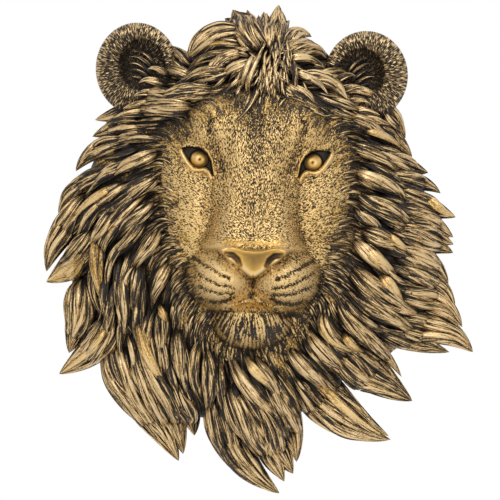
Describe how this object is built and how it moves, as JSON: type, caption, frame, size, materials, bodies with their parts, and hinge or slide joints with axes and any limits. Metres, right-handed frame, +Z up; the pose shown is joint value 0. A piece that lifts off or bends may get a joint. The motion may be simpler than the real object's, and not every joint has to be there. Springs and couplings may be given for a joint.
{
  "type": "lion head wall mask",
  "caption": "Lion's head in high relief with a wide swept mane, cast in one piece with a flat back, to hang on a wall.",
  "frame": {"origin": "on the flat back, half way between the lowest lock and the top of the crest, on the face's line of symmetry", "axes": "+Z up the wall, -Y out of the wall the way the lion looks, +X to the viewer's right"},
  "size_m": [0.3505, 0.15, 0.4],
  "materials": {
    "antique_gold_resin": "black resin dry-brushed with antique gold paint: gold on every raised hair, near black in the hollows"
  },
  "bodies": {
    "root": {"lion_head": "antique_gold_resin"}
  },
  "joints": []
}
